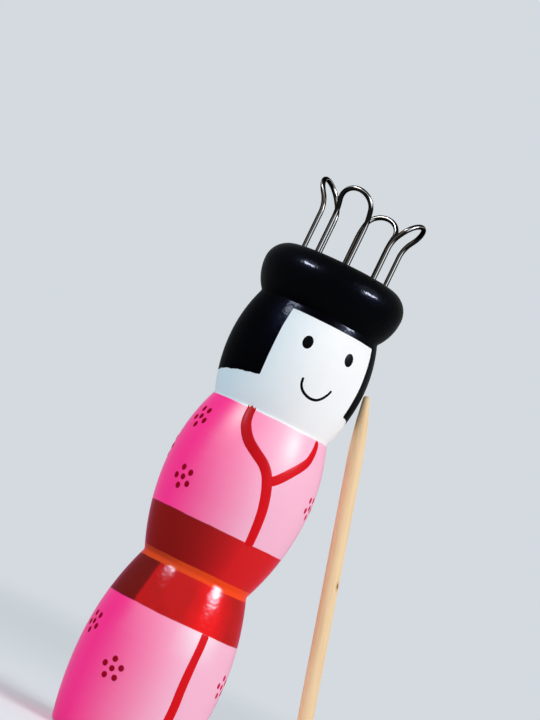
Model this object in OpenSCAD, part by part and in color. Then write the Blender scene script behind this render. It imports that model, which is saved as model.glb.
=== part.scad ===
// Knitting nancy: a turned wooden doll, bored through for the knitted cord, with four bent wire
// staples in its hat and a loose wooden needle that leans against its head.
// Millimetres. +Z runs up the bore, the origin is the centre of the base, the face looks along -Y.

/* [Turned body] */
// Height of the skirt, from the base to the waist groove
skirt_h = 47.8; // [36:0.1:60]
// Height of the skirt's widest part above the base
belly_up = 21.5; // [14:0.1:30]
// Height of the chest, from the waist groove to the neck groove
chest_h = 43; // [34:0.1:52]
// Height of the chest's widest part above the waist groove
bust_up = 24.7; // [14:0.1:29]
// Height of the head, from the neck groove to the groove under the hat
head_h = 28; // [22:0.1:36]
// Height of the head's widest part above the neck groove
cheek_up = 15.2; // [8:0.1:18]
// Height of the hat, from the groove under it to its flat top
hat_h = 13.8; // [10:0.1:18]
// Radius of the round edge at the top of the hat
hat_round = 5.9; // [3:0.1:7]

/* [Body diameters] */
// Diameter of the base
base_d = 33; // [26:0.1:36]
// Largest diameter of the skirt
belly_d = 37.8; // [37:0.1:46]
// Diameter at the waist groove
waist_d = 28.2; // [24:0.1:34]
// Largest diameter of the chest
bust_d = 38.2; // [36:0.1:46]
// Diameter at the neck groove
neck_d = 31; // [26:0.1:34]
// Largest diameter of the head
cheek_d = 36.8; // [35:0.1:44]
// Diameter at the groove under the hat
band_d = 32.1; // [28:0.1:34]
// Largest diameter of the hat
brim_d = 37.8; // [36:0.1:44]
// Diameter of the bore that the cord passes through
bore_d = 12; // [8:0.1:16]
// Width of the chamfer at the top mouth of the bore
mouth_chamfer = 0.8; // [0.3:0.1:1.5]
// Width of the chamfer round the base
base_chamfer = 1; // [0.3:0.1:2]

/* [Wire staples] */
// Diameter of the wire
wire_d = 1.3; // [1:0.1:2]
// Distance between the middles of a staple's two legs
staple_w = 8.6; // [6:0.1:10]
// Distance from the bore's axis to the middle of each staple
staple_ring = 10.5; // [9:0.1:12]
// Length of leg that is driven into the hat
leg_sunk = 13; // [8:0.1:20]
// Radius of the outward bend, at the middle of the wire
bend_r = 8; // [1.5:0.1:10]
// Straight length between the bend and the round top
tip_run = 1; // [0.5:0.1:6]
// Room round each leg in its hole
leg_clear = 0.02; // [0.01:0.01:0.05]
// Room under each leg in its hole
leg_end_clear = 0.3; // [0.1:0.1:1]

/* [Front left staple] */
// Place round the bore, in degrees from +X
front_left_turn = -131; // [-145:1:-125]
// Straight length of leg above the hat
front_left_up = 9.4; // [6:0.1:14]
// Outward lean of the top, in degrees
front_left_lean = 31; // [10:1:50]

/* [Front right staple] */
// Place round the bore, in degrees from +X
front_right_turn = -45; // [-55:1:-35]
// Straight length of leg above the hat
front_right_up = 8.3; // [6:0.1:14]
// Outward lean of the top, in degrees
front_right_lean = 33; // [10:1:50]

/* [Back right staple] */
// Place round the bore, in degrees from +X
back_right_turn = 48; // [35:1:55]
// Straight length of leg above the hat
back_right_up = 9.4; // [6:0.1:14]
// Outward lean of the top, in degrees
back_right_lean = 23; // [10:1:50]

/* [Back left staple] */
// Place round the bore, in degrees from +X
back_left_turn = 131; // [125:1:145]
// Straight length of leg above the hat
back_left_up = 10.2; // [6:0.1:14]
// Outward lean of the top, in degrees
back_left_lean = 36; // [10:1:50]

/* [Needle] */
// Length of the needle
needle_l = 110; // [70:1:130]
// Diameter of the needle's shaft
needle_d = 4; // [3:0.1:6]
// Diameter of the needle's round tips
needle_tip_d = 1.8; // [1:0.1:2.8]
// Length of the upper taper
upper_taper = 10; // [5:0.5:25]
// Length of the lower taper
lower_taper = 14; // [5:0.5:25]
// Lean of the needle from upright, in degrees
needle_lean = 15; // [8:0.5:25]
// Side on which the needle leans, in degrees from the front towards +X
needle_side = 68.7; // [40:0.1:140]
// Room between the needle and the doll
needle_clear = 0.2; // [0.1:0.05:0.5]

/* [Hidden] */

// Smoothness of the turned shapes and of the wire
$fn = 180;
wire_fn = 32;

// Heights of the grooves and of the widest parts
waist_z = skirt_h;
neck_z = waist_z + chest_h;
band_z = neck_z + head_h;
top_z = band_z + hat_h;
belly_z = belly_up;
bust_z = waist_z + bust_up;
cheek_z = neck_z + cheek_up;
brim_z = top_z - hat_round;
flat_r = brim_d / 2 - hat_round;
bore_r = bore_d / 2;
wire_r = wire_d / 2;
needle_r = needle_d / 2;
tip_r = needle_tip_d / 2;

// Cutters run past the surfaces they open by this much
over = 1;

// Each length of a staple's wire is thinner than the one before it by this much in radius,
// as bending draws it, and enters that one by this depth
wire_step = 0.01;
wire_seat = 0.1;

// The outline's arcs: widest height, widest radius, end height, end radius
ARCS = [
  [belly_z, belly_d / 2, 0, base_d / 2],
  [belly_z, belly_d / 2, waist_z, waist_d / 2],
  [bust_z, bust_d / 2, waist_z, waist_d / 2],
  [bust_z, bust_d / 2, neck_z, neck_d / 2],
  [cheek_z, cheek_d / 2, neck_z, neck_d / 2],
  [cheek_z, cheek_d / 2, band_z, band_d / 2],
  [brim_z, brim_d / 2, band_z, band_d / 2],
  [brim_z, brim_d / 2, top_z, flat_r],
];

// Radius of the arc that is upright at the widest part and passes through the end, to 0.01 mm
function arc_radius(arc) =
  let (rise = arc[2] - arc[0], draw = arc[1] - arc[3])
    round(100 * (rise * rise + draw * draw) / (2 * draw)) / 100;

// Whether a height lies on an arc, and the arc's radius from the doll's axis there
function on_arc(arc, z) = z >= min(arc[0], arc[2]) && z <= max(arc[0], arc[2]);
function arc_reach(arc, z) =
  let (rho = arc_radius(arc), up = z - arc[0]) arc[1] - rho + sqrt(rho * rho - up * up);

// Radius of the body's outline at a height
function outline_r(z) = max([for (arc = ARCS) if (on_arc(arc, z)) arc_reach(arc, z)]);

// Half of one swelling: the area between the axis and one arc, which runs on past a groove
// into the next swelling so that the two cut each other cleanly
module swelling(arc) {
  rho = arc_radius(arc);
  centre = arc[1] - rho;
  inner = max(0, centre);
  past = arc[2] == 0 || arc[2] == top_z ? 0 : over;
  end = arc[2] + past * sign(arc[2] - arc[0]);
  low = min(arc[0], end);
  rise = abs(end - arc[0]);
  if (inner > 0) translate([0, low]) square([inner, rise]);
  intersection() {
    translate([centre, arc[0]]) circle(r = rho);
    translate([inner, low]) square([arc[1] - inner + over, rise]);
  }
}

// The turned outline, with the chamfer round the base
module body_outline() {
  edge = base_d / 2;
  difference() {
    union() {
      for (arc = ARCS) swelling(arc);
    }
    polygon([
      [edge - 2 * base_chamfer, -base_chamfer],
      [edge + base_chamfer, 2 * base_chamfer],
      [edge + base_chamfer, -base_chamfer],
    ]);
  }
}

// The cord's bore, with the chamfer at its top mouth
module bore() {
  translate([0, 0, -over]) cylinder(r = bore_r, h = top_z + 2 * over);
  translate([0, 0, top_z - mouth_chamfer])
    cylinder(r1 = bore_r, r2 = bore_r + mouth_chamfer + over, h = mouth_chamfer + over);
}

// Places its children at a staple's middle on the hat, with +X pointing outwards
module staple_place(turn) {
  rotate([0, 0, turn]) translate([staple_ring, 0, top_z]) children();
}

// Both legs of a staple, or the holes for them, from a depth up to a height above the hat
module legs(r, depth, up) {
  for (side = [-1, 1])
    translate([0, side * staple_w / 2, -depth]) cylinder(r = r, h = depth + up, $fn = wire_fn);
}

module turned_body() {
  color("hotpink")
  difference() {
    rotate_extrude() body_outline();
    bore();
    for (turn = [front_left_turn, front_right_turn, back_right_turn, back_left_turn])
      staple_place(turn) legs(wire_r + leg_clear, leg_sunk + leg_end_clear, over);
  }
}

// Angle of arc, in degrees, by which a bent length of wire enters the one before it
function seat_angle(r) = wire_seat / r * 180 / PI;

// A bent length of wire: an arc about Z that starts on +X, seated at its start and its end
module bent_wire(r, thickness, angle, seat_start, seat_end) {
  rotate([0, 0, -seat_start]) rotate_extrude(angle = angle + seat_start + seat_end)
    translate([r, 0]) circle(r = thickness, $fn = wire_fn);
}

// One staple: straight legs, an outward bend in each, a straight run and a round top
module staple(turn, up, lean) {
  top_r = staple_w / 2;
  color("silver")
  staple_place(turn) {
    legs(wire_r, leg_sunk, up);
    for (side = [-1, 1])
      translate([bend_r, side * top_r, up]) rotate([90, 0, 0]) rotate([0, 0, 180 - lean])
        bent_wire(bend_r, wire_r - wire_step, lean, 0, seat_angle(bend_r));
    translate([bend_r - bend_r * cos(lean), 0, up + bend_r * sin(lean)]) rotate([0, lean, 0]) {
      legs(wire_r - 2 * wire_step, wire_seat, tip_run);
      translate([0, 0, tip_run]) rotate([90, 0, 90])
        bent_wire(top_r, wire_r - 3 * wire_step, 180, seat_angle(top_r), seat_angle(top_r));
    }
  }
}

module staple_front_left() {
  staple(front_left_turn, front_left_up, front_left_lean);
}

module staple_front_right() {
  staple(front_right_turn, front_right_up, front_right_lean);
}

module staple_back_right() {
  staple(back_right_turn, back_right_up, back_right_lean);
}

module staple_back_left() {
  staple(back_left_turn, back_left_up, back_left_lean);
}

// Length between the middles of the needle's two round tips
tip_span = needle_l - 2 * tip_r;

// Radius of the needle at a length above its lower tip's middle
function needle_reach(s) =
  min(needle_r, tip_r + (needle_r - tip_r) * min(s / lower_taper, (tip_span - s) / upper_taper));

// Distance from the doll's axis to the lower tip's middle, at which the needle just clears the doll:
// the largest that the outline asks for at any height along the needle
function needle_height(s) = tip_r + s * cos(needle_lean);
function foot_for(s) =
  outline_r(needle_height(s)) + (needle_reach(s) + needle_clear) / cos(needle_lean) + s * sin(needle_lean);
needle_foot = max([for (s = [0 : 0.1 : tip_span]) if (needle_height(s) <= top_z) foot_for(s)]);

// Half of the needle's section, with round tips
module needle_outline() {
  polygon([
    [0, 0],
    [tip_r, 0],
    [needle_r, lower_taper],
    [needle_r, tip_span - upper_taper],
    [tip_r, tip_span],
    [0, tip_span],
  ]);
  intersection() {
    circle(r = tip_r);
    translate([0, -tip_r - over]) square(tip_r + over);
  }
  translate([0, tip_span])
  intersection() {
    circle(r = tip_r);
    square(tip_r + over);
  }
}

module needle() {
  color("burlywood")
  rotate([0, 0, needle_side - 90]) translate([needle_foot, 0, tip_r]) rotate([0, -needle_lean, 0])
    rotate_extrude() needle_outline();
}

turned_body();
staple_front_left();
staple_front_right();
staple_back_right();
staple_back_left();
needle();
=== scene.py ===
"""A knitting nancy: a turned and painted wooden doll with four wire staples in its hat, and its needle."""
import math

import bpy
from mathutils import Matrix, Vector


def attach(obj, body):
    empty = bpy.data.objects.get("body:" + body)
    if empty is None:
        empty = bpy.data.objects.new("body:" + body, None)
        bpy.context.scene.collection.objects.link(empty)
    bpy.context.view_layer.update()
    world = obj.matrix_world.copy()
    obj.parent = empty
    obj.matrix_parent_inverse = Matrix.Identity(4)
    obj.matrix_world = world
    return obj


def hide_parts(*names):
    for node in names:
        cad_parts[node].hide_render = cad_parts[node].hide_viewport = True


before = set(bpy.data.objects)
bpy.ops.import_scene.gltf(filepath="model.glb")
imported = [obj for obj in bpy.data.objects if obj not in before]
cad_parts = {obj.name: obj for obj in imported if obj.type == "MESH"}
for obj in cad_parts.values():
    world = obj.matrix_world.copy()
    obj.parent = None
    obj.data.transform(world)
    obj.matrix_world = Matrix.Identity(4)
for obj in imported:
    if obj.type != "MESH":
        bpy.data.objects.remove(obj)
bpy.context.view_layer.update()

MM = 0.001
# A distance too small to show, in millimetres
NEAR = 0.01

# Grooves and widest parts of the turned body: height and radius in millimetres
BASE = (0, 16.5)
BELLY = (21.5, 18.9)
WAIST = (47.8, 14.1)
BUST = (72.5, 19.1)
NECK = (90.8, 15.5)
CHEEK = (106, 18.4)
BAND = (118.8, 16.05)
BRIM = (126.7, 18.9)
CROWN = (132.6, 13)
SWELLINGS = [
    (BELLY, BASE), (BELLY, WAIST), (BUST, WAIST), (BUST, NECK),
    (CHEEK, NECK), (CHEEK, BAND), (BRIM, BAND), (BRIM, CROWN),
]
BORE_R = 6
MOUTH_CHAMFER = 0.8
BASE_ROUND = 1


def outline_r(z):
    """Radius of the turned body at a height: arcs that stand upright at the widest parts."""
    widest = 0
    for (wide_z, wide_r), (end_z, end_r) in SWELLINGS:
        if min(wide_z, end_z) <= z <= max(wide_z, end_z):
            rise, draw = end_z - wide_z, wide_r - end_r
            arc = (rise * rise + draw * draw) / (2 * draw)
            widest = max(widest, wide_r - arc + math.sqrt(arc * arc - (z - wide_z) ** 2))
    return widest


def skin(turn, z, lift=0.0):
    """A point on the doll: degrees round from the face towards +X, height and lift off the skin in mm."""
    angle = math.radians(turn)
    slope = (outline_r(z + NEAR) - outline_r(z - NEAR)) / (2 * NEAR)
    out = Vector((math.sin(angle), -math.cos(angle), -slope)).normalized()
    r = outline_r(z)
    return (Vector((r * math.sin(angle), -r * math.cos(angle), z)) + out * lift) * MM


# Modelling

# The painted pieces, kept together because only they show the studio's glints
painted = bpy.data.collections.new("painted_pieces")


def pick(piece):
    """Makes one piece the only one selected, and the active one."""
    bpy.ops.object.select_all(action="DESELECT")
    piece.select_set(True)
    bpy.context.view_layer.objects.active = piece


def settle(piece, finish, body, slot, *nodes):
    """Puts a finished piece's place in its mesh, and gives it its finish and its body; a piece of the
    painted_wood slot joins the painted pieces.
    """
    pick(piece)
    bpy.ops.object.transform_apply(location=True, rotation=True, scale=True)
    piece.data.name = piece.name
    if finish:
        piece.data.materials.clear()
        piece.data.materials.append(finish)
    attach(piece, body)
    if slot == "painted_wood":
        painted.objects.link(piece)
    if nodes:
        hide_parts(*nodes)


def turn_on_lathe(name, outline, steps):
    """A turned piece: an outline of (radius, height) in mm, drawn point by point and spun round Z."""
    bpy.ops.object.select_all(action="DESELECT")
    start_r, start_z = outline[0]
    bpy.ops.mesh.primitive_plane_add(size=MM, location=(start_r * MM, 0, start_z * MM))
    piece = bpy.context.object
    piece.name = name
    bpy.ops.object.mode_set(mode="EDIT")
    bpy.ops.mesh.merge(type="CENTER")
    for (r, z), (next_r, next_z) in zip(outline, outline[1:]):
        step = ((next_r - r) * MM, 0, (next_z - z) * MM)
        bpy.ops.mesh.extrude_region_move(TRANSFORM_OT_translate={"value": step})
    bpy.ops.mesh.select_all(action="SELECT")
    bpy.ops.mesh.spin(steps=steps, angle=2 * math.pi, center=(0, 0, 0), axis=(0, 0, 1))
    bpy.ops.mesh.select_all(action="SELECT")
    bpy.ops.mesh.remove_doubles(threshold=NEAR / 10 * MM)
    bpy.ops.mesh.normals_make_consistent(inside=False)
    bpy.ops.object.mode_set(mode="OBJECT")
    pick(piece)
    bpy.ops.object.transform_apply(location=True)
    return piece


def heights_between(low, high, pitch):
    """Evenly spaced heights from low up to high, about a pitch apart."""
    count = max(2, round((high - low) / pitch))
    return [low + (high - low) * i / count for i in range(count + 1)]


# Steps of the doll's mesh: round it, round the edges of the base and the hat, and up it in millimetres
DOLL_STEPS = 180
BASE_STEPS = 6
HAT_STEPS = 12
DOLL_PITCH = 1.0
# Heights of the rings down the bore, and how far in from the hat's round edge its flat top has a ring
BORE_RINGS = (100, 66, 32, 0)
FLAT_RING = 2
# Width of the paint that fills the sharp bottom of a groove
GROOVE_FILL = 0.35


def turned_doll():
    """The bored and turned body, from the base's inner edge up the outside and down the bore."""
    base_r = outline_r(0) - BASE_ROUND
    outline = [(BORE_R, 0), (base_r, 0)]
    for i in range(1, BASE_STEPS):
        around = math.radians(90 * i / BASE_STEPS)
        outline.append((
            base_r + (outline_r(BASE_ROUND) - base_r) * math.sin(around),
            BASE_ROUND * (1 - math.cos(around)),
        ))
    stations = [BASE_ROUND, WAIST[0], NECK[0], BAND[0], BRIM[0]]
    for low, high in zip(stations, stations[1:]):
        outline += [(outline_r(z), z) for z in heights_between(low, high, DOLL_PITCH)[:-1]]
    hat_round = BRIM[1] - CROWN[1]
    for i in range(HAT_STEPS + 1):
        around = math.radians(90 * i / HAT_STEPS)
        outline.append((
            CROWN[1] + hat_round * math.cos(around),
            BRIM[0] + hat_round * math.sin(around),
        ))
    outline += [(CROWN[1] - FLAT_RING, CROWN[0]), (BORE_R + MOUTH_CHAMFER, CROWN[0])]
    outline += [(BORE_R, z) for z in (CROWN[0] - MOUTH_CHAMFER, *BORE_RINGS)]
    doll = turn_on_lathe("turned_doll", outline, DOLL_STEPS)

    # The grooves' sharp bottoms are filled with a little paint
    pick(doll)
    bpy.ops.object.mode_set(mode="EDIT")
    bpy.ops.mesh.select_all(action="DESELECT")
    bpy.ops.object.mode_set(mode="OBJECT")
    for edge in doll.data.edges:
        ends = [doll.data.vertices[i].co for i in edge.vertices]
        for z, r in (WAIST, NECK, BAND):
            if all(abs(p.z - z * MM) < NEAR * MM and p.xy.length > (r - 1) * MM for p in ends):
                edge.select = True
    bpy.ops.object.mode_set(mode="EDIT")
    bpy.ops.mesh.select_mode(type="EDGE")
    bpy.ops.mesh.bevel(offset=GROOVE_FILL * MM, segments=3, affect="EDGES")
    bpy.ops.mesh.select_mode(type="VERT")
    bpy.ops.object.mode_set(mode="OBJECT")
    bpy.ops.object.shade_smooth_by_angle(angle=math.radians(28))
    return doll


# Steps between two points of a path, before it is divided evenly, and the fewest that it is divided into
SPAN_STEPS = 12
LEAST_STEPS = 8


def along_path(path, pitch):
    """A smooth line through a path of (turn, height, width): points about a pitch apart, and its length."""
    points = []
    for i in range(len(path) - 1):
        before, start = path[max(0, i - 1)], path[i]
        end, after = path[i + 1], path[min(len(path) - 1, i + 2)]
        for j in range(SPAN_STEPS):
            t = j / SPAN_STEPS
            points.append([
                0.5 * (2 * b + (c - a) * t + (2 * a - 5 * b + 4 * c - d) * t * t
                       + (3 * b - a - 3 * c + d) * t ** 3)
                for a, b, c, d in zip(before, start, end, after)
            ])
    points.append(list(path[-1]))
    reach = [0.0]
    for (turn, z, _), (next_turn, next_z, _) in zip(points, points[1:]):
        round_mm = math.radians(next_turn - turn) * outline_r(z)
        reach.append(reach[-1] + math.hypot(round_mm, next_z - z))
    count = max(LEAST_STEPS, round(reach[-1] / pitch))
    even, k = [], 0
    for i in range(count + 1):
        at = reach[-1] * i / count
        while k < len(reach) - 2 and reach[k + 1] < at:
            k += 1
        t = (at - reach[k]) / (reach[k + 1] - reach[k])
        even.append([a + (b - a) * t for a, b in zip(points[k], points[k + 1])])
    return even, reach[-1]


# A loaded brush leaves two points where it is set down: their length, and the run that they fade over
SPLIT = 0.35
SPLIT_RUN = 1.6
# How deep a stroke sinks into the paint that it runs up to, and over what run
SINK = 0.3
SINK_RUN = 1.0
# How deep a stroke's edges lie under the skin, and the thickness of its wall
STROKE_BED = 0.03
STROKE_WALL = 0.1
# How narrow and how low a stroke is at a round end, as shares of its full width and height
END_WIDTH = 0.08
END_HEIGHT = 0.3
STROKE_STEPS = 8


def brush_stroke(name, path, thick, finish, ends=("round", "round"), pitch=0.4):
    """A raised stroke of enamel along a path of (turn, height, width) on the doll.

    Each end is round, split into two small points, or sunk into the paint that it runs up to.
    """
    line, length = along_path(path, pitch)
    last = len(line) - 1
    bpy.ops.object.select_all(action="DESELECT")
    bpy.ops.mesh.primitive_grid_add(x_subdivisions=last, y_subdivisions=STROKE_STEPS, size=2)
    stroke = bpy.context.object
    stroke.name = name
    for corner in stroke.data.vertices:
        along, across = (corner.co.x + 1) / 2, corner.co.y
        at = min(max(along, 0.0), 1.0) * last
        i = min(int(at), last - 1)
        turn, z, width = [a + (b - a) * (at - i) for a, b in zip(line[i], line[i + 1])]
        r = outline_r(z)
        round_mm = math.radians(line[i + 1][0] - line[i][0]) * r
        go = Vector((round_mm, line[i + 1][1] - line[i][1])).normalized()
        full, back, sunk = 1.0, 0.0, 0.0
        for end, reach in zip(ends, (along * length, (1 - along) * length)):
            if end == "round" and reach < width / 2:
                full = math.sqrt(max(0.0, 1 - (1 - 2 * reach / width) ** 2))
            elif end == "split":
                back = SPLIT * math.cos(2 * math.pi * across) * max(0.0, 1 - reach / SPLIT_RUN)
            elif end == "sunk":
                sunk = SINK * max(0.0, 1 - reach / SINK_RUN)
        side = across * width / 2 * max(full, END_WIDTH)
        turn += math.degrees((-go.y * side - go.x * back) / r)
        z += go.x * side - go.y * back
        bead = thick * max(full, END_HEIGHT) * (1 - across ** 2) ** 0.5
        corner.co = skin(turn, z, bead - STROKE_BED - sunk)
    pick(stroke)
    wall = stroke.modifiers.new("paint", "SOLIDIFY")
    wall.thickness = STROKE_WALL * MM
    wall.offset = -1
    bpy.ops.object.modifier_apply(modifier=wall.name)
    bpy.ops.object.shade_smooth_by_angle(angle=math.radians(50))
    settle(stroke, finish, "doll", "painted_wood")


# The share of a drop's dome that lies under the skin, so that its edge is low, and how that narrows it
DROP_SUNK = 0.42
DROP_CUT = math.sqrt(1 - DROP_SUNK ** 2)
DROP_STEPS = 16
# Half the step over which the skin's directions are taken: degrees round, and mm up
STEP_ROUND = 0.5
STEP_UP = 0.05


def paint_drop(turn, z, width, height, thick):
    """A domed drop of enamel, flattened on to the doll's skin at its place."""
    bpy.ops.object.select_all(action="DESELECT")
    bpy.ops.mesh.primitive_uv_sphere_add(segments=DROP_STEPS, ring_count=DROP_STEPS // 2, radius=1)
    drop = bpy.context.object
    centre = skin(turn, z, -DROP_SUNK * thick)
    width, height = width / DROP_CUT, height / DROP_CUT
    round_way = (skin(turn + STEP_ROUND, z) - skin(turn - STEP_ROUND, z)).normalized()
    up_way = (skin(turn, z + STEP_UP) - skin(turn, z - STEP_UP)).normalized()
    out_way = round_way.cross(up_way)
    columns = [round_way * width / 2 * MM, up_way * height / 2 * MM, out_way * thick * MM]
    drop.matrix_world = Matrix.Translation(centre) @ Matrix(columns).transposed().to_4x4()
    bpy.ops.object.shade_smooth()
    bpy.ops.object.transform_apply(location=True, rotation=True, scale=True)
    return drop


def join_paint(name, parts, finish):
    """Several drops of paint on the doll, made into one piece."""
    bpy.ops.object.select_all(action="DESELECT")
    for part in parts:
        part.select_set(True)
    bpy.context.view_layer.objects.active = parts[0]
    bpy.ops.object.join()
    piece = bpy.context.object
    piece.name = name
    settle(piece, finish, "doll", "painted_wood")


# The wire's radius, the sides of its mesh, and its steps round each bend and over the top
WIRE_R = 0.65
WIRE_SIDES = 20
BEND_STEPS = 8
TOP_STEPS = 28
# Sizes of every staple in millimetres: between its legs, out from the bore's axis, leg in the hat, and bend
STAPLE_W = 8.6
STAPLE_RING = 10.5
LEG_SUNK = 13
BEND_R = 8
TIP_RUN = 1


def staple(name, turn, up, lean, finish):
    """One bent wire staple: a round drawn up the leg, round the bends and over the top to the other leg."""
    half, lean = STAPLE_W / 2 * MM, math.radians(lean)
    bend, run = BEND_R * MM, TIP_RUN * MM
    foot_x, knee_z = STAPLE_RING * MM, (CROWN[0] + up) * MM
    leg = (LEG_SUNK + up) * MM
    bpy.ops.object.select_all(action="DESELECT")
    bpy.ops.mesh.primitive_circle_add(
        vertices=WIRE_SIDES, radius=WIRE_R * MM, fill_type="NGON", location=(foot_x, -half, knee_z - leg))
    wire = bpy.context.object
    wire.name = name
    lean_way = Vector((math.sin(lean), 0, math.cos(lean)))
    knee = Vector((foot_x + bend, 0, knee_z))
    top = Vector((foot_x + bend * (1 - math.cos(lean)), 0, knee_z + bend * math.sin(lean))) + lean_way * run
    over = Vector((math.cos(lean), 0, -math.sin(lean)))
    bpy.ops.object.mode_set(mode="EDIT")
    bpy.ops.mesh.extrude_region_move(TRANSFORM_OT_translate={"value": (0, 0, leg)})
    bpy.ops.mesh.spin(steps=BEND_STEPS, angle=-lean, center=knee, axis=(0, 1, 0))
    bpy.ops.mesh.extrude_region_move(TRANSFORM_OT_translate={"value": lean_way * run})
    bpy.ops.mesh.spin(steps=TOP_STEPS, angle=math.pi, center=top, axis=over)
    bpy.ops.mesh.extrude_region_move(TRANSFORM_OT_translate={"value": -lean_way * run})
    bpy.ops.mesh.spin(steps=BEND_STEPS, angle=lean, center=knee, axis=(0, 1, 0))
    bpy.ops.mesh.extrude_region_move(TRANSFORM_OT_translate={"value": (0, 0, -leg)})
    bpy.ops.mesh.select_all(action="SELECT")
    bpy.ops.mesh.remove_doubles(threshold=NEAR / 10 * MM)
    bpy.ops.mesh.normals_make_consistent(inside=False)
    bpy.ops.object.mode_set(mode="OBJECT")
    pick(wire)
    bpy.ops.object.transform_apply(location=True)
    # Each point keeps its place round and along the wire, and the way it faces, for the lines along it
    along = wire.data.attributes.new("wire_run", "FLOAT_VECTOR", "POINT")
    outward = wire.data.attributes.new("wire_side", "FLOAT_VECTOR", "POINT")
    turned = Matrix.Rotation(math.radians(turn), 3, "Z")
    reach, before = 0.0, None
    for i in range(0, len(wire.data.vertices), WIRE_SIDES):
        ring = [wire.data.vertices[i + j].co for j in range(WIRE_SIDES)]
        centre = sum(ring, Vector()) / WIRE_SIDES
        reach += (centre - before).length if before else 0.0
        before = centre
        for j in range(WIRE_SIDES):
            angle = 2 * math.pi * j / WIRE_SIDES
            along.data[i + j].vector = (
                WIRE_R * MM * math.cos(angle), WIRE_R * MM * math.sin(angle), reach)
            outward.data[i + j].vector = turned @ (ring[j] - centre).normalized()
    wire.rotation_euler.z = math.radians(turn)
    bpy.ops.object.shade_smooth_by_angle(angle=math.radians(40))
    settle(wire, finish, "doll", "nickel_wire", name.replace("wire_", "staple_"))


# Sizes of the needle in millimetres, its lean and the side it leans on in degrees, and its room to the doll
NEEDLE_L = 110
NEEDLE_R = 2
TIP_R = 0.9
UPPER_TAPER = 10
LOWER_TAPER = 14
NEEDLE_LEAN = 15
NEEDLE_SIDE = 68.7
NEEDLE_CLEAR = 0.2
SHOULDER = 0.6
TIP_SPAN = NEEDLE_L - 2 * TIP_R
# Steps of its mesh: round it, round its tips, and along it in millimetres
NEEDLE_STEPS = 48
TIP_STEPS = 8
NEEDLE_PITCH = 2.5


def needle_r(s):
    """Radius of the needle at a length above its lower tip's middle."""
    taper = TIP_R + (NEEDLE_R - TIP_R) * min(s / LOWER_TAPER, (TIP_SPAN - s) / UPPER_TAPER)
    # The shoulder is sanded round, within the straight taper
    rounding = max(0.0, SHOULDER - abs(taper - NEEDLE_R)) / SHOULDER
    return min(NEEDLE_R, taper) - rounding ** 2 * SHOULDER / 4


def needle_foot():
    """How far the lower tip stands from the doll's axis, so that the needle just clears the doll."""
    lean = math.radians(NEEDLE_LEAN)
    farthest = 0
    for i in range(int(TIP_SPAN * 10)):
        s = i / 10
        z = TIP_R + s * math.cos(lean)
        if z <= CROWN[0]:
            room = (needle_r(s) + NEEDLE_CLEAR) / math.cos(lean)
            farthest = max(farthest, outline_r(z) + room + s * math.sin(lean))
    return farthest


def whittled_needle(finish):
    """The loose needle, turned with a taper and a round tip at each end, leaning against the head."""
    outline = [(0, -TIP_R)]
    for i in range(1, TIP_STEPS):
        around = math.radians(90 * i / TIP_STEPS)
        outline.append((TIP_R * math.sin(around), -TIP_R * math.cos(around)))
    stations = [0, LOWER_TAPER, TIP_SPAN - UPPER_TAPER, TIP_SPAN]
    for low, high in zip(stations, stations[1:]):
        outline += [(needle_r(s), s) for s in heights_between(low, high, NEEDLE_PITCH)[:-1]]
    for i in range(TIP_STEPS):
        around = math.radians(90 * i / TIP_STEPS)
        outline.append((TIP_R * math.cos(around), TIP_SPAN + TIP_R * math.sin(around)))
    outline.append((0, TIP_SPAN + TIP_R))
    needle = turn_on_lathe("wooden_needle", outline, NEEDLE_STEPS)
    bpy.ops.object.shade_smooth()
    lean = Matrix.Rotation(math.radians(-NEEDLE_LEAN), 4, "Y")
    foot = Matrix.Translation((needle_foot() * MM, 0, TIP_R * MM))
    needle.matrix_world = Matrix.Rotation(math.radians(NEEDLE_SIDE - 90), 4, "Z") @ foot @ lean
    settle(needle, finish, "needle", "bare_birch", "needle")


# Finishes

def colour(hex_code):
    """An sRGB hex colour as linear red, green, blue and alpha."""
    parts = [int(hex_code[i:i + 2], 16) / 255 for i in (1, 3, 5)]
    return tuple(c / 12.92 if c <= 0.04045 else ((c + 0.055) / 1.055) ** 2.4 for c in parts) + (1.0,)


def add(tree, kind, settings=None, sockets=None):
    """One node with its settings, and its sockets set to a value or linked from another node."""
    made = tree.nodes.new("ShaderNode" + kind)
    for name, value in (settings or {}).items():
        setattr(made, name, value)
    for name, value in (sockets or {}).items():
        if isinstance(value, bpy.types.NodeSocket):
            tree.links.new(value, made.inputs[name])
        else:
            made.inputs[name].default_value = value
    return made


# Settings that many nodes share. A blend's socket 0 is its share, and 6 and 7 are its two colours.
# A range's socket 0 is its value, 1 and 2 are where it starts and ends, and 3 and 4 what it gives there
BLEND = {"data_type": "RGBA"}
STAIN = {"data_type": "RGBA", "blend_type": "MULTIPLY"}
TIMES = {"operation": "MULTIPLY"}
TIMES_PLUS = {"operation": "MULTIPLY_ADD"}
LESS = {"operation": "SUBTRACT"}
PLUS_TO_ONE = {"operation": "ADD", "use_clamp": True}
TO_POWER = {"operation": "POWER"}
LARGER = {"operation": "MAXIMUM"}
UNSIGNED = {"operation": "ABSOLUTE"}
UNIT = {"operation": "NORMALIZE"}
FACING = {"operation": "DOT_PRODUCT"}
LENGTH = {"operation": "LENGTH"}


def new_finish(name):
    """A new material, its node tree, its shader and its place on the piece."""
    material = bpy.data.materials.new(name)
    material.use_nodes = True
    tree = material.node_tree
    shader = tree.nodes["Principled BSDF"]
    return material, tree, shader, add(tree, "TexCoord").outputs["Object"]


# The brush was held to the doll as it turned, so the enamel lies in faint rings: their pitch and length
RING_PITCH = 1.6
RING_RUN = 100 / 3
# How much the rings vary the roughness, and the thinness of sprayed colour
RING_SHARE = 0.06
# Level paint still has a soft skin of dimples of about this size
DIMPLE = 1.3
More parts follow.
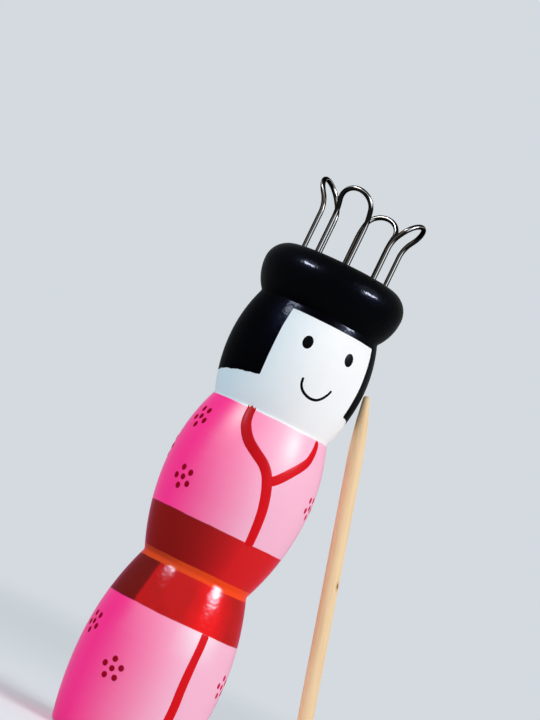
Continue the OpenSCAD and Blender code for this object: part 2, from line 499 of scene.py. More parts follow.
# Dents from handling: their width, the grid they are scattered on, and the share of its cells without one
DENT = 0.9
DENT_GAP = 8
DENT_FREE = 0.66


def enamel_skin(tree, shader, place, over, rough, rough_over, wrinkle, wrinkle_high):
    """Gives a shader the rings, dimples, dents and raised edges of brushed gloss enamel.

    over is 1 where a second coat lies on the first. Each coat has its roughness, and the second dries with
    wrinkles of a width and height in mm. It returns the rings, and the dents that dirt gathers in.
    """
    long_way, pitch = 1 / (RING_RUN * MM), 1 / (RING_PITCH * MM)
    rings = add(tree, "Mapping", {}, {"Vector": place, "Scale": (long_way, long_way, pitch)})
    rings = add(tree, "TexNoise", {}, {"Vector": rings.outputs[0], "Scale": 1.0, "Detail": 3.0})
    streak = rings.outputs["Fac"]
    shine = add(tree, "MapRange", {}, {0: over, 3: rough, 4: rough_over})
    shine = add(tree, "Math", TIMES_PLUS, {0: streak, 1: RING_SHARE, 2: shine.outputs[0]})
    tree.links.new(shine.outputs[0], shader.inputs["Roughness"])
    dimple = add(tree, "TexNoise", {}, {"Vector": place, "Scale": 1 / (DIMPLE * MM), "Detail": 1.0})
    spot = add(tree, "TexVoronoi", {}, {"Vector": place, "Scale": 1 / (DENT_GAP * MM)})
    dent = add(tree, "MapRange", {}, {0: spot.outputs["Distance"], 1: 0.5 * DENT / DENT_GAP, 2: 0.0})
    chosen = add(tree, "SeparateColor", {}, {0: spot.outputs["Color"]})
    chosen = add(tree, "Math", {"operation": "GREATER_THAN"}, {0: chosen.outputs[0], 1: DENT_FREE})
    dent = add(tree, "Math", TIMES, {0: dent.outputs[0], 1: chosen.outputs[0]}).outputs[0]
    crinkle = add(tree, "TexNoise", {}, {"Vector": place, "Scale": 1 / (wrinkle * MM), "Detail": 2.0})
    crinkle = add(tree, "Math", LESS, {0: crinkle.outputs["Fac"], 1: 0.5})
    crinkle = add(tree, "Math", TIMES, {0: crinkle.outputs[0], 1: over})
    # Each relief: the pattern that it follows, its strength, and its height in mm
    level = None
    for height, strength, high in (
        (streak, 0.15, 0.008), (dimple.outputs["Fac"], 0.3, 0.03), (dent, 0.6, -0.08), (over, 0.4, 0.02),
        (crinkle.outputs[0], 0.6, wrinkle_high),
    ):
        sockets = {"Strength": strength, "Distance": abs(high) * MM, "Height": height}
        if level:
            sockets["Normal"] = level.outputs[0]
        level = add(tree, "Bump", {"invert": high < 0}, sockets)
    for normal in ("Normal", "Coat Normal"):
        tree.links.new(level.outputs[0], shader.inputs[normal])
    return streak, dent


# The way to the lit side, and where on that way painted light starts and ends: colours are painted whiter
# towards that side and darker away from it, as painted light and shade.
# A place round the doll counts from -1, farthest from that side, to 1
LIT_SIDE = (0.93, -0.36, 0)
LIT_FROM = -0.76
LIT_TO = 0.48


def painted_lighting(tree, place, streak):
    """Where a point lies on the way round to the lit side, and how much painted light it gets there."""
    round_axis = add(tree, "VectorMath", TIMES, {0: place, 1: (1, 1, 0)})
    outward = add(tree, "VectorMath", UNIT, {0: round_axis.outputs[0]})
    away = add(tree, "VectorMath", FACING, {0: outward.outputs[0], 1: LIT_SIDE})
    away = add(tree, "Math", TIMES_PLUS, {0: streak, 1: RING_SHARE, 2: away.outputs["Value"]})
    lit_share = add(tree, "MapRange", {}, {0: away.outputs[0], 1: LIT_FROM, 2: LIT_TO})
    lit_share = add(tree, "Math", TO_POWER, {0: lit_share.outputs[0], 1: 1.35})
    return away.outputs[0], lit_share.outputs[0]


def face_white(tree, lit_share):
    """The white of the face and neck, painted greyer on the side away from the light as painted shade."""
    pale = add(tree, "Math", TO_POWER, {0: lit_share, 1: 0.62})
    white = add(tree, "Mix", BLEND, {
        0: pale.outputs[0], 6: colour("#c7dae3"), 7: colour("#f9f7f5")})
    return white.outputs[2]


# Heights in mm that the sash and its cord are painted between, how low the neck's white comes, and half the
# width of a painted edge
SASH = (35.75, 60.35)
CORD = (46.95, 49.45)
NECK_WHITE_Z = 90.55
EDGE = 0.08
# The edges waver over this length, by up to this height
WAVER = 7
WAVER_HIGH = 0.5


def kimono_enamel():
    """Gloss enamel, sprayed and brushed on in bands: a pink robe, a red sash and an orange cord.

    It gives the eye vivid colour with painted light and shade, whiter towards the lit side and the front,
    painted reflections of soft boxes on the sash and skirt, a soft pink rim, small clear highlights and a
    fine wrinkle in the red, and a slightly wavering edge to each band.
    """
    material, tree, shader, place = new_finish("kimono_enamel")
    axes = add(tree, "SeparateXYZ", {}, {0: place})
    height = axes.outputs["Z"]
    waver = add(tree, "TexNoise", {}, {"Vector": place, "Scale": 1 / (WAVER * MM), "Detail": 2.0})
    waver = waver.outputs["Fac"]
    line = add(tree, "Math", TIMES_PLUS, {0: waver, 1: WAVER_HIGH * MM, 2: height}).outputs[0]
    masks = []
    for low, high in (SASH, CORD):
        above = add(tree, "MapRange", {}, {0: line, 1: (low - EDGE) * MM, 2: (low + EDGE) * MM})
        below = add(tree, "MapRange", {}, {0: line, 1: (high + EDGE) * MM, 2: (high - EDGE) * MM})
        masks.append(add(tree, "Math", TIMES, {0: above.outputs[0], 1: below.outputs[0]}).outputs[0])
    sash, cord = masks
    streak, dent = enamel_skin(tree, shader, place, sash, 0.31, 0.9, 1.0, 0.12)
    away, lit_share = painted_lighting(tree, place, streak)
    lit_share_steep = add(tree, "Math", TO_POWER, {0: lit_share, 1: 1.8}).outputs[0]
    ragged = add(tree, "Math", TIMES_PLUS, {0: waver, 1: 0.08, 2: away}).outputs[0]
    # Below the cord a painted highlight makes the colour brightest on a patch at the front
    lower = add(tree, "MapRange", {}, {0: height, 1: 47.3 * MM, 2: 46.9 * MM}).outputs[0]
    rise = add(tree, "MapRange", {}, {0: away, 1: 0.12, 2: 0.42})
    fall = add(tree, "MapRange", {}, {0: away, 1: 0.82, 2: 0.6})
    front = add(tree, "Math", TIMES, {0: rise.outputs[0], 1: fall.outputs[0]}).outputs[0]
    # There the red starts darker as painted shade, then a brighter, cloudy painted reflection of a soft box
    # begins with an edge at the side, which is blended in behind
    shaded_colour = add(tree, "Mix", BLEND, {0: lower, 6: colour("#850509"), 7: colour("#70060a")})
    red = add(tree, "Mix", BLEND, {0: lit_share_steep, 6: shaded_colour.outputs[2], 7: colour("#dc161f")})
    blended = add(tree, "MapRange", {}, {0: axes.outputs["Y"], 1: -4 * MM, 2: 4 * MM, 3: -0.51, 4: 0.3})
    reflected_pass = add(tree, "MapRange", {}, {0: ragged, 1: -0.55, 2: blended.outputs[0]})
    reflected_pass = add(tree, "Math", TIMES, {0: reflected_pass.outputs[0], 1: lower})
    low_red = add(tree, "Mix", BLEND, {0: front, 6: colour("#c20c14"), 7: colour("#f20c18")})
    cloud = add(tree, "MapRange", {}, {0: waver, 1: 0.5, 2: 0.7, 4: 0.3})
    low_red = add(tree, "Mix", BLEND, {0: cloud.outputs[0], 6: low_red.outputs[2], 7: colour("#98070f")})
    red = add(tree, "Mix", BLEND, {0: reflected_pass.outputs[0], 6: red.outputs[2], 7: low_red.outputs[2]})
    # The painted reflection fades out down the skirt, and there is another painted pass of light like it on
    # the shoulder, whose top faces the light
    skirt = add(tree, "MapRange", {}, {0: height, 1: 25 * MM, 2: 36 * MM, 4: 0.16})
    shoulder = add(tree, "MapRange", {}, {0: height, 1: 68 * MM, 2: 84 * MM, 4: 0.14})
    reflection_passes = add(tree, "Math", TIMES_PLUS, {0: skirt.outputs[0], 1: lower, 2: shoulder.outputs[0]})
    # Painted light: the pink turns whiter towards the lit side and in these painted reflections
    painted_pale = add(tree, "MapRange", {}, {0: ragged, 1: -0.6, 2: -0.46})
    painted_pale = add(tree, "Math", TIMES, {0: painted_pale.outputs[0], 1: reflection_passes.outputs[0]})
    painted_pale = add(tree, "Math", PLUS_TO_ONE, {0: painted_pale.outputs[0], 1: lit_share})
    pink = add(tree, "Mix", BLEND, {0: painted_pale.outputs[0], 6: colour("#fe3490"), 7: colour("#febbd3")})
    # A painted highlight: near white on the skirt's front, just below the sash
    painted_glow = add(tree, "MapRange", {}, {0: height, 1: 27 * MM, 2: 35 * MM, 4: 0.7})
    painted_glow = add(tree, "Math", TIMES, {0: front, 1: painted_glow.outputs[0]})
    painted_glow = add(tree, "Math", TIMES, {0: painted_glow.outputs[0], 1: lower})
    pink = add(tree, "Mix", BLEND, {0: painted_glow.outputs[0], 6: pink.outputs[2], 7: colour("#ffe9f1")})
    # Painted shade: the cord is darker under the groove's upper lip on the shaded side, and its orange is
    # painted darker away from the light
    orange = add(tree, "Mix", BLEND, {0: lit_share_steep, 6: colour("#d8461a"), 7: colour("#fa4714")})
    pool_and_shade = add(tree, "MapRange", {}, {0: away, 1: -0.6, 2: -0.2, 3: 0.75, 4: 0.0})
    pool_and_shade = add(tree, "MapRange", {}, {0: height, 1: 47.6 * MM, 2: 48.5 * MM, 4: pool_and_shade.outputs[0]})
    orange = add(tree, "Mix", BLEND, {0: pool_and_shade.outputs[0], 6: orange.outputs[2], 7: colour("#a02c12")})
    robe = add(tree, "Mix", BLEND, {0: sash, 6: pink.outputs[2], 7: red.outputs[2]})
    robe = add(tree, "Mix", BLEND, {0: cord, 6: robe.outputs[2], 7: orange.outputs[2]})
    neck = add(tree, "MapRange", {}, {
        0: line, 1: (NECK_WHITE_Z - EDGE) * MM, 2: (NECK_WHITE_Z + EDGE) * MM})
    robe = add(tree, "Mix", BLEND, {0: neck.outputs[0], 6: robe.outputs[2], 7: face_white(tree, lit_share)})
    dirt = add(tree, "Math", TIMES, {0: dent, 1: 0.35})
    robe = add(tree, "Mix", STAIN, {0: dirt.outputs[0], 6: robe.outputs[2], 7: colour("#9c8f94")})
    tree.links.new(robe.outputs[2], shader.inputs["Base Color"])
    # The sash has a clear gloss, which is duller on the far side
    gloss = add(tree, "MapRange", {}, {0: away, 1: -0.62, 2: -0.46, 3: 0.012, 4: 0.045})
    coat = add(tree, "Math", TIMES, {0: sash, 1: gloss.outputs[0]})
    tree.links.new(coat.outputs[0], shader.inputs["Coat Weight"])
    shader.inputs["Coat Roughness"].default_value = 0.1
    shader.inputs["Specular IOR Level"].default_value = 0.035
    shader.inputs["Specular Tint"].default_value = colour("#ffffc2")
    shader.inputs["Sheen Weight"].default_value = 1.0
    shader.inputs["Sheen Roughness"].default_value = 0.25
    shader.inputs["Sheen Tint"].default_value = colour("#ff98c8")
    return material


# The bare face: its middle and half its width in degrees round, and its upper and lower ends in mm
FACE_TURN = -0.4
HAIR_TURN = 44
FRINGE_Z = 116.9
HAIR_LOW_Z = 97.6
# The hair's lower edge is ragged over a length, by up to a height, and all its edges sway over a longer one
RAGGED = 2.6
RAGGED_HIGH = 0.9
SWAY = 12
SWAY_HIGH = 0.5


def head_enamel():
    """Gloss enamel on the head: white all round, then black hair and hat over it with a square fringe.

    It gives the eye a clean white face, painted greyer on the side away from the light as painted shade,
    against dark wet-looking black, with the brush's small unevenness along the hair's lower edge.
    """
    material, tree, shader, place = new_finish("head_enamel")
    axes = add(tree, "SeparateXYZ", {}, {0: place})
    waver = add(tree, "TexNoise", {}, {"Vector": place, "Scale": 1 / (RAGGED * MM), "Detail": 2.0})
    sway = add(tree, "TexNoise", {}, {"Vector": place, "Scale": 1 / (SWAY * MM), "Detail": 1.0})
    front = add(tree, "Math", TIMES, {0: axes.outputs["Y"], 1: -1.0})
    turn = add(tree, "Math", {"operation": "ARCTAN2"}, {0: axes.outputs["X"], 1: front.outputs[0]})
    turn = add(tree, "Math", LESS, {0: turn.outputs[0], 1: math.radians(FACE_TURN)})
    away = add(tree, "Math", UNSIGNED, {0: turn.outputs[0]}).outputs[0]
    # How far a point lies inside the bare face: from its sides, from the fringe and below the hair
    side = add(tree, "Math", TIMES_PLUS, {
        0: away, 1: -CHEEK[1] * MM, 2: math.radians(HAIR_TURN) * CHEEK[1] * MM})
    fringe = add(tree, "Math", LESS, {0: FRINGE_Z * MM, 1: axes.outputs["Z"]})
    panel = add(tree, "Math", {"operation": "SMOOTH_MIN"}, {
        0: side.outputs[0], 1: fringe.outputs[0], 2: 0.3 * MM})
    # The hair's lower edge climbs a little towards the face
    climb = add(tree, "MapRange", {}, {
        0: away, 1: math.radians(HAIR_TURN), 2: math.radians(100),
        3: (HAIR_LOW_Z + 0.9) * MM, 4: (HAIR_LOW_Z - 1.5) * MM})
    ragged = add(tree, "Math", TIMES_PLUS, {
        0: waver.outputs["Fac"], 1: RAGGED_HIGH * MM, 2: climb.outputs[0]})
    under = add(tree, "Math", LESS, {0: ragged.outputs[0], 1: axes.outputs["Z"]})
    under = add(tree, "Math", LESS, {0: under.outputs[0], 1: RAGGED_HIGH / 2 * MM})
    bare = add(tree, "Math", {"operation": "SMOOTH_MAX"}, {
        0: panel.outputs[0], 1: under.outputs[0], 2: 1.0 * MM})
    bare = add(tree, "Math", TIMES_PLUS, {
        0: sway.outputs["Fac"], 1: SWAY_HIGH * MM, 2: bare.outputs[0]})
    hair = add(tree, "MapRange", {}, {0: bare.outputs[0], 1: 0.3 * MM, 2: 0.2 * MM}).outputs[0]
    streak, dent = enamel_skin(tree, shader, place, hair, 0.55, 0.38, 2.2, 0.17)
    # How much painted light each side gets: it paints shade on the white and dulls the hair's gloss away
    # from the light
    _, lit_share = painted_lighting(tree, place, streak)
    dirt = add(tree, "Math", TIMES, {0: dent, 1: 0.3})
    white = add(tree, "Mix", STAIN, {
        0: dirt.outputs[0], 6: face_white(tree, lit_share), 7: colour("#9aa3a8")})
    black = add(tree, "Mix", BLEND, {0: streak, 6: colour("#020202"), 7: colour("#040405")})
    head = add(tree, "Mix", BLEND, {0: hair, 6: white.outputs[2], 7: black.outputs[2]})
    tree.links.new(head.outputs[2], shader.inputs["Base Color"])
    # The hair's gloss is duller on the far side, and the hat's is the same all round
    dulled = add(tree, "MapRange", {}, {0: lit_share, 1: 0.3, 2: 0.8, 3: 0.008, 4: 0.032})
    gloss = add(tree, "MapRange", {}, {
        0: axes.outputs["Z"], 1: (BAND[0] + 0.5) * MM, 2: (BAND[0] + 2.5) * MM,
        3: dulled.outputs[0], 4: 0.038})
    coat = add(tree, "Math", TIMES, {0: hair, 1: gloss.outputs[0]})
    tree.links.new(coat.outputs[0], shader.inputs["Coat Weight"])
    shader.inputs["Coat Roughness"].default_value = 0.14
    shader.inputs["Specular IOR Level"].default_value = 0.004
    shader.inputs["Specular Tint"].default_value = colour("#8fa6ff")
    return material


# Thick paint pools in patches of about this size
POOL = 4


def stroke_enamel(name, shaded_colour, painted_bright, shine):
    """Thick gloss enamel laid on with a loaded brush: it stands proud, its colour varies in uneven pools,
    and it is painted darker on the side away from the light as painted shade.
    """
    material, tree, shader, place = new_finish(name)
    pool_and_shade = add(tree, "TexNoise", {}, {"Vector": place, "Scale": 1 / (POOL * MM), "Detail": 2.0})
    pool_and_shade = pool_and_shade.outputs["Fac"]
    streak, _ = enamel_skin(tree, shader, place, pool_and_shade, 0.5, 0.6, 1.0, 0.02)
    _, lit_share = painted_lighting(tree, place, streak)
    lit_share = add(tree, "Math", TO_POWER, {0: lit_share, 1: 1.6})
    # The colour runs from the shaded colour to the lit one, by the uneven pools and by painted light and
    # shade round the doll
    depth = add(tree, "Math", TIMES_PLUS, {0: pool_and_shade, 1: 0.5, 2: -0.25})
    depth = add(tree, "Math", PLUS_TO_ONE, {0: depth.outputs[0], 1: lit_share.outputs[0]})
    paint = add(tree, "Mix", BLEND, {0: depth.outputs[0], 6: colour(shaded_colour), 7: colour(painted_bright)})
    tree.links.new(paint.outputs[2], shader.inputs["Base Color"])
    shader.inputs["Coat Weight"].default_value = shine
    shader.inputs["Coat Roughness"].default_value = 0.25
    shader.inputs["Specular IOR Level"].default_value = shine
    return material


# Beech has flecks of about this width and length
FLECK_W = 0.7
FLECK_L = 6
# Growth rings, drawn wider than real ones so that they show: where their heart lies outside the doll, and
# their pitch. A wave has a crest every 2 pi / 20 of its unit
HEART = (22, 13, 0)
GROWTH_PITCH = 13.82


def bored_beech():
    """Bare beech, bored and faced off: pale straw-brown with short darker flecks and faint growth rings."""
    material, tree, shader, place = new_finish("bored_beech")
    across, along = 1 / (FLECK_W * MM), 1 / (FLECK_L * MM)
    flecks = add(tree, "Mapping", {}, {"Vector": place, "Scale": (across, across, along)})
    fleck = add(tree, "TexNoise", {}, {"Vector": flecks.outputs[0], "Scale": 1.0, "Detail": 4.0})
    bands = add(tree, "Mapping", {}, {
        "Vector": place, "Location": [c * MM for c in HEART], "Scale": (1, 1, 0.02)})
    waves = 2 * math.pi / (20 * GROWTH_PITCH * MM)
    rings = add(tree, "TexWave", {"wave_type": "RINGS", "rings_direction": "Z"}, {
        "Vector": bands.outputs[0], "Scale": waves, "Distortion": 2.0, "Detail": 2.0})
    wood = add(tree, "Mix", BLEND, {
        0: fleck.outputs["Fac"], 6: colour("#b98a5c"), 7: colour("#e2c196")})
    wood = add(tree, "Mix", STAIN, {
        0: 0.25, 6: wood.outputs[2], 7: rings.outputs["Color"]})
    tree.links.new(wood.outputs[2], shader.inputs["Base Color"])
    rough = add(tree, "MapRange", {}, {0: fleck.outputs["Fac"], 3: 0.75, 4: 0.55})
    tree.links.new(rough.outputs[0], shader.inputs["Roughness"])
    bump = add(tree, "Bump", {}, {"Strength": 0.5, "Distance": 0.08 * MM, "Height": fleck.outputs["Fac"]})
    tree.links.new(bump.outputs[0], shader.inputs["Normal"])
    return material


# Birch has fibres of about this width and length, and clouds of colour of about this size
FIBRE_W = 0.45
FIBRE_L = 14
BIRCH_CLOUD = 16
# The one small knot, from the lower tip's middle: out from the doll, towards its back, and up the needle
KNOT = (1.64, -1.15, 61)


def sanded_birch():
    """Sanded bare birch: cream-coloured, with faint straight grain along the needle and one small knot."""
    material, tree, shader, place = new_finish("sanded_birch")
    side = math.radians(NEEDLE_SIDE - 90)
    lean = math.radians(-NEEDLE_LEAN)
    # The pattern is stood upright, as the needle was before it was leaned on the doll
    turn = add(tree, "VectorRotate", {"rotation_type": "Z_AXIS"}, {"Vector": place, "Angle": -side})
    foot = (needle_foot() * MM, 0, TIP_R * MM)
    stood = add(tree, "VectorRotate", {"rotation_type": "Y_AXIS"}, {
        "Vector": turn.outputs[0], "Center": foot, "Angle": -lean})
    middle = add(tree, "VectorMath", LESS, {0: stood.outputs[0], 1: foot}).outputs[0]
    across, along = 1 / (FIBRE_W * MM), 1 / (FIBRE_L * MM)
    fibres = add(tree, "Mapping", {}, {"Vector": middle, "Scale": (across, across, along)})
    grain = add(tree, "TexNoise", {}, {
        "Vector": fibres.outputs[0], "Scale": 1.0, "Detail": 4.0, "Distortion": 0.4})
    clouds = add(tree, "TexNoise", {}, {"Vector": middle, "Scale": 1 / (BIRCH_CLOUD * MM), "Detail": 2.0})
    pale = add(tree, "Mix", BLEND, {
        0: clouds.outputs["Fac"], 6: colour("#f0c792"), 7: colour("#f5d7ae")})
    grain_dark = add(tree, "MapRange", {}, {0: grain.outputs["Fac"], 1: 0.5, 2: 0.8, 4: 0.45})
    wood = add(tree, "Mix", BLEND, {
        0: grain_dark.outputs[0], 6: pale.outputs[2], 7: colour("#d3a26b")})
    # The knot, drawn out along the grain
    from_knot = add(tree, "VectorMath", LESS, {0: middle, 1: [c * MM for c in KNOT]})
    from_knot = add(tree, "VectorMath", TIMES, {0: from_knot.outputs[0], 1: (1, 1, 0.5)})
    from_knot = add(tree, "VectorMath", LENGTH, {0: from_knot.outputs[0]})
    for hex_code, near, far in (("#c8905a", 0.2, 0.85), ("#6a3c18", 0.15, 0.45)):
        stain = add(tree, "MapRange", {}, {
            0: from_knot.outputs["Value"], 1: far * MM, 2: near * MM, 4: 0.9})
        wood = add(tree, "Mix", BLEND, {
            0: stain.outputs[0], 6: wood.outputs[2], 7: colour(hex_code)})
    tree.links.new(wood.outputs[2], shader.inputs["Base Color"])
    rough = add(tree, "MapRange", {}, {0: grain.outputs["Fac"], 3: 0.5, 4: 0.7})
    tree.links.new(rough.outputs[0], shader.inputs["Roughness"])
    bump = add(tree, "Bump", {}, {"Strength": 0.4, "Distance": 0.05 * MM, "Height": grain.outputs["Fac"]})
    tree.links.new(bump.outputs[0], shader.inputs["Normal"])
    return material


# Scratches along the wire, drawn wider than real ones so that they show: their width and length
SCRATCH_W = 0.6
SCRATCH_L = 25
# Painted reflections, lines along the wire where it would mirror light: which way each faces in degrees
# round from +X, half the angle that it spans, and how strong it is
LINES = [line for turn in (-91, 29, 149) for line in ((turn, 13, 1.0), (turn - 40, 8, 0.35))]


def nickel_plated_wire():
    """Nickel-plated steel wire, drawn and bent: dark metal with pale lines along it.

    Its colour is dark, and painted reflections run all along the wire as light and grey stripes with warm
    edges, set by the way each point faces.
    """
    material, tree, shader, place = new_finish("nickel_plated_wire")
    run = add(tree, "Attribute", {"attribute_name": "wire_run"})
    across, along = 1 / (SCRATCH_W * MM), 1 / (SCRATCH_L * MM)
    drawn = add(tree, "Mapping", {}, {"Vector": run.outputs["Vector"], "Scale": (across, across, along)})
    scratch = add(tree, "TexNoise", {}, {"Vector": drawn.outputs[0], "Scale": 1.0, "Detail": 2.0})
    scratch = scratch.outputs["Fac"]
    outward = add(tree, "Attribute", {"attribute_name": "wire_side"})
    outward = add(tree, "VectorMath", UNIT, {0: outward.outputs["Vector"]})
    # Painted reflection: over the top of a loop, and only there, one line runs along the upper side
    up = add(tree, "SeparateXYZ", {}, {0: outward.outputs[0]})
    slant = add(tree, "Math", TIMES_PLUS, {0: scratch, 1: 0.1, 2: up.outputs["Z"]})
    off = add(tree, "Math", LESS, {0: slant.outputs[0], 1: 0.32})
    off = add(tree, "Math", UNSIGNED, {0: off.outputs[0]})
    upper = add(tree, "MapRange", {}, {0: off.outputs[0], 1: 0.09, 2: 0.03})
    high = add(tree, "SeparateXYZ", {}, {0: place})
    looped = add(tree, "MapRange", {}, {
        0: high.outputs["Z"], 1: (CROWN[0] + 13) * MM, 2: (CROWN[0] + 15.5) * MM})
    painted_bright = add(tree, "Math", TIMES, {0: upper.outputs[0], 1: looped.outputs[0]}).outputs[0]
    for turn, half, share in LINES:
        angle = math.radians(turn)
        facing = add(tree, "VectorMath", FACING, {
            0: outward.outputs[0], 1: (math.cos(angle), math.sin(angle), 0)})
        off = add(tree, "Math", {"operation": "ARCCOSINE"}, {0: facing.outputs["Value"]})
        ragged = add(tree, "Math", TIMES_PLUS, {0: scratch, 1: -0.1, 2: off.outputs[0]})
        line = add(tree, "MapRange", {}, {
            0: ragged.outputs[0], 1: math.radians(half), 2: math.radians(half) - 0.12, 4: share})
        painted_bright = add(tree, "Math", LARGER, {0: line.outputs[0], 1: painted_bright}).outputs[0]
    # Painted reflections: a warm edge round each line, and its light middle
    warm = add(tree, "MapRange", {}, {0: painted_bright, 2: 0.35})
    reflected = add(tree, "MapRange", {}, {0: painted_bright, 1: 0.35})
    metal = add(tree, "Mix", BLEND, {
        0: warm.outputs[0], 6: colour("#1c1a19"), 7: colour("#7a6f66")})
    metal = add(tree, "Mix", BLEND, {
        0: reflected.outputs[0], 6: metal.outputs[2], 7: colour("#f4f5f5")})
    tree.links.new(metal.outputs[2], shader.inputs["Base Color"])
    rough = add(tree, "MapRange", {}, {0: scratch, 1: 0.3, 2: 0.7, 3: 0.28, 4: 0.18})
    tree.links.new(rough.outputs[0], shader.inputs["Roughness"])
    shader.inputs["Metallic"].default_value = 1.0
    shader.inputs["Specular Tint"].default_value = colour("#a09890")
    return material


# The doll

doll = turned_doll()
settle(doll, None, "doll", "painted_wood", "turned_body")
doll.data.materials.clear()
for finish in (kimono_enamel(), head_enamel(), bored_beech()):
    doll.data.materials.append(finish)
for face in doll.data.polygons:
    middle = face.center / MM
    bare = middle.xy.length < BORE_R + 5 * NEAR or middle.z < 5 * NEAR
    face.material_index = 2 if bare else 1 if middle.z > NECK[0] else 0

# Each stroke enamel: a colour for its painted shade away from the light, one for its painted light side,
# and its gloss
red = stroke_enamel("collar_enamel", "#a90c13", "#df131c", 0.006)
crimson = stroke_enamel("blossom_enamel", "#8f0614", "#cf0f4c", 0.002)
black = stroke_enamel("face_line_enamel", "#020202", "#060607", 0.006)

# Painted lines: degrees round from the face, height and width of the stroke
LEFT_COLLAR = [
    (-40.6, 90.8, 2.3), (-38.5, 87.3, 2.7), (-34.8, 85.1, 2.85), (-28.4, 82.8, 2.95), (-19.9, 81.0, 2.95),
    (-11.1, 79.3, 2.95), (-5.4, 77.4, 2.95), (-1.6, 75.0, 2.95), (1.2, 72.5, 2.95), (4.0, 69.2, 2.9),
    (5.8, 65.9, 2.8), (7.2, 62.6, 2.7), (8.7, 59.0, 2.6),
]
RIGHT_COLLAR = [
    (34.2, 90.4, 1.7), (33.3, 88.7, 2.0), (31.0, 86.9, 2.25), (26.7, 84.5, 2.4), (20.4, 82.4, 2.5),
    (14.3, 80.5, 2.55), (8.1, 78.4, 2.6), (2.3, 76.6, 2.6), (-4.4, 75.5, 2.6),
]
SKIRT_LINE = [
    (9.6, 36.4, 2.4), (9.3, 32.6, 2.4), (8.6, 29.0, 2.4), (8.3, 24.9, 2.55), (8.7, 20.9, 2.65),
    (10.2, 15.6, 2.75), (10.9, 9.0, 2.75), (11.2, 2.0, 2.6),
]
SMILE = [
    (-11.9, 102.6, 0.72), (-10.8, 100.8, 0.76), (-6.8, 99.4, 0.8), (-0.4, 98.7, 0.8), (5.6, 98.9, 0.8),
    (9.9, 99.9, 0.8), (12.9, 101.4, 0.76), (14.4, 102.8, 0.72),
]
brush_stroke("left_collar", LEFT_COLLAR, 0.16, red, ("split", "sunk"))
brush_stroke("right_collar", RIGHT_COLLAR, 0.14, red, ("round", "sunk"))
brush_stroke("skirt_line", SKIRT_LINE, 0.14, red, ("sunk", "round"))
brush_stroke("smile", SMILE, 0.08, black, pitch=0.2)

# Drops of paint: width, height and thickness
EYE = (2.5, 3.25, 0.2)
MIDDLE_DOT = (1.5, 1.5, 0.12)
RING_DOT = (1.5, 1.6, 0.12)
eyes = [paint_drop(turn, z, *EYE) for turn, z in ((-20.6, 110.8), (17.4, 111.4))]
join_paint("eyes", eyes, black)

# Blossoms of five dots round one: degrees round, height, and how far the ring of dots is turned
BLOSSOMS = [
    (-82, 83.5, 52), (-64.7, 68, 41), (-111.2, 74, 0), (54.5, 74.6, 60), (93, 83, 30), (100, 66.5, 12),
    (131, 76, 50), (160, 84.5, 20), (171, 67, 64), (-150, 77, 35), (-131, 66, 5), (-122, 84, 44),
    (-46.6, 18.5, 24), (-88, 26.6, 50), (53.9, 25.3, 33), (92, 17, 8), (128, 27, 40), (166, 16.5, 60),
    (-155, 27.5, 22), (-122, 16, 47),
]
RING = 2.45
dots = []
for turn, z, twist in BLOSSOMS:
    dots.append(paint_drop(turn, z, *MIDDLE_DOT))
    for i in range(5):
        angle = math.radians(twist + 72 * i)
        round_deg = math.degrees(RING * math.cos(angle) / outline_r(z))
        dots.append(paint_drop(turn + round_deg, z + RING * math.sin(angle), *RING_DOT))
join_paint("blossoms", dots, crimson)

# Staples: degrees round from +X, straight height of the legs above the hat, and outward lean in degrees
STAPLES = [
    ("wire_front_left", -131, 9.4, 31), ("wire_front_right", -45, 8.3, 33),
    ("wire_back_right", 48, 9.4, 23), ("wire_back_left", 131, 10.2, 36),
]
nickel = nickel_plated_wire()
for name, turn, up, lean in STAPLES:
    staple(name, turn, up, lean, nickel)

whittled_needle(sanded_birch())


# Camera: it stands low in front, a little to the doll's right hand, and is held rolled. Places in metres

CAMERA_TURN = math.radians(20.9)
CAMERA_FAR = 0.75
CAMERA_UP = 0.062
AIM_RIGHT = -0.0065
AIM_UP = 0.1038
ROLL = math.radians(25.93)
to_right = Vector((math.cos(CAMERA_TURN), -math.sin(CAMERA_TURN), 0))
to_camera = Vector((-math.sin(CAMERA_TURN), -math.cos(CAMERA_TURN), 0))


def seen(right, near, up):
    """A point by its distances to the right of the doll's axis, towards the camera and up, in metres."""
    return to_right * right + to_camera * near + Vector((0, 0, up))


stand = seen(0, CAMERA_FAR, CAMERA_UP)
look = (seen(AIM_RIGHT, 0, AIM_UP) - stand).normalized()
level = look.cross(Vector((0, 0, 1))).normalized()
upright = level.cross(look)
side = level * math.cos(ROLL) + upright * math.sin(ROLL)
above = upright * math.cos(ROLL) - level * math.sin(ROLL)
lens = bpy.data.cameras.new("camera")
lens.lens = 150
lens.sensor_fit = "VERTICAL"
lens.sensor_height = 36
lens.clip_start = 0.01
camera = bpy.data.objects.new("camera", lens)
bpy.context.collection.objects.link(camera)
camera.matrix_world = Matrix.Translation(stand) @ Matrix((side, above, -look)).transposed().to_4x4()
bpy.context.scene.camera = camera


# Studio: a pale floor that fades into a pale room, and soft boxes

PALE = "#d4dadf"
# How far out the floor starts and ends fading, and its radius, in metres
FADE_FROM = 0.16
FADE_TO = 0.6
FLOOR_R = 4
# Size of the paper's fine clouds of fibre, in mm
PAPER_FIBRE = 1.5


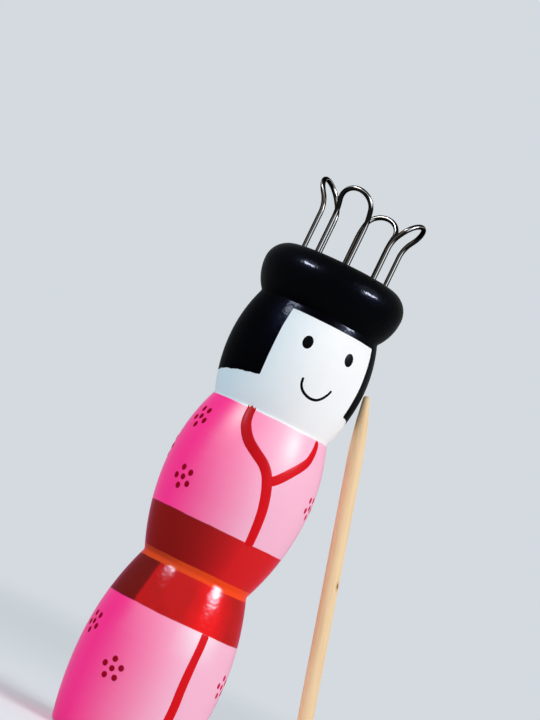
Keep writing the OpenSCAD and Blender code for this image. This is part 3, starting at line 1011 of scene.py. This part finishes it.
def softbox(name, place, aim, wide, high, watts, glint=False):
    """A soft box that faces a point. A glint is oval and shows only as a reflection in the gloss paint."""
    lamp = bpy.data.lights.new(name, "AREA")
    lamp.shape = "ELLIPSE" if glint else "RECTANGLE"
    lamp.size, lamp.size_y = wide, high
    lamp.energy = watts
    holder = bpy.data.objects.new(name, lamp)
    bpy.context.collection.objects.link(holder)
    holder.location = place
    holder.rotation_euler = (aim - place).to_track_quat("-Z", "Y").to_euler()
    if glint:
        lamp.color = colour("#dfe8ff")[:3]
        holder.visible_diffuse = False
        holder.light_linking.receiver_collection = painted


middle = Vector((0, 0, 0.08))
softbox("right_key", seen(0.575, 0.33, 0.57), middle, 0.5, 0.5, 3.7)
softbox("left_key", seen(-0.53, 0.36, 0.6), middle, 0.4, 0.3, 2.8)
softbox("right_glint", seen(0.575, 0.33, 0.46), middle, 0.28, 0.11, 53, glint=True)
softbox("left_glint", seen(-0.53, 0.36, 0.53), middle, 0.26, 0.1, 45, glint=True)

room = bpy.data.worlds.new("room")
bpy.context.scene.world = room
room.use_nodes = True
tree = room.node_tree
tree.nodes.clear()
ray = add(tree, "LightPath")
shown = add(tree, "Math", LARGER, {
    0: ray.outputs["Is Camera Ray"], 1: ray.outputs["Is Glossy Ray"]})
shown = add(tree, "Math", LARGER, {
    0: shown.outputs[0], 1: ray.outputs["Is Transmission Ray"]})
lit = add(tree, "Background", {}, {"Color": colour("#e6edf4"), "Strength": 0.5})
backdrop = add(tree, "Background", {}, {"Color": colour(PALE), "Strength": 1.0})
mixed = add(tree, "MixShader", {}, {0: shown.outputs[0], 1: lit.outputs[0], 2: backdrop.outputs[0]})
add(tree, "OutputWorld", {}, {"Surface": mixed.outputs[0]})


def pale_paper():
    """Matt pale paper that takes the doll's shadow near by and fades into the room's colour farther out."""
    material, tree, shader, place = new_finish("pale_paper")
    shader.inputs["Base Color"].default_value = colour("#e4e8eb")
    fibre = add(tree, "TexNoise", {}, {"Vector": place, "Scale": 1 / (PAPER_FIBRE * MM), "Detail": 3.0})
    rough = add(tree, "MapRange", {}, {0: fibre.outputs["Fac"], 3: 0.85, 4: 1.0})
    tree.links.new(rough.outputs[0], shader.inputs["Roughness"])
    shader.inputs["Specular IOR Level"].default_value = 0.0
    away = add(tree, "VectorMath", LENGTH, {0: place})
    fade = add(tree, "MapRange", {"interpolation_type": "SMOOTHSTEP"}, {
        0: away.outputs["Value"], 1: FADE_FROM, 2: FADE_TO})
    glow = add(tree, "Emission", {}, {"Color": colour(PALE), "Strength": 1.0})
    mixed = add(tree, "MixShader", {}, {0: fade.outputs[0], 1: shader.outputs[0], 2: glow.outputs[0]})
    output = tree.nodes["Material Output"]
    tree.links.new(mixed.outputs[0], output.inputs["Surface"])
    return material


bpy.ops.object.select_all(action="DESELECT")
bpy.ops.mesh.primitive_circle_add(vertices=96, radius=FLOOR_R, fill_type="NGON")
floor = bpy.context.object
floor.name = "floor"
floor.data.materials.append(pale_paper())

bpy.context.scene.view_settings.view_transform = "Standard"
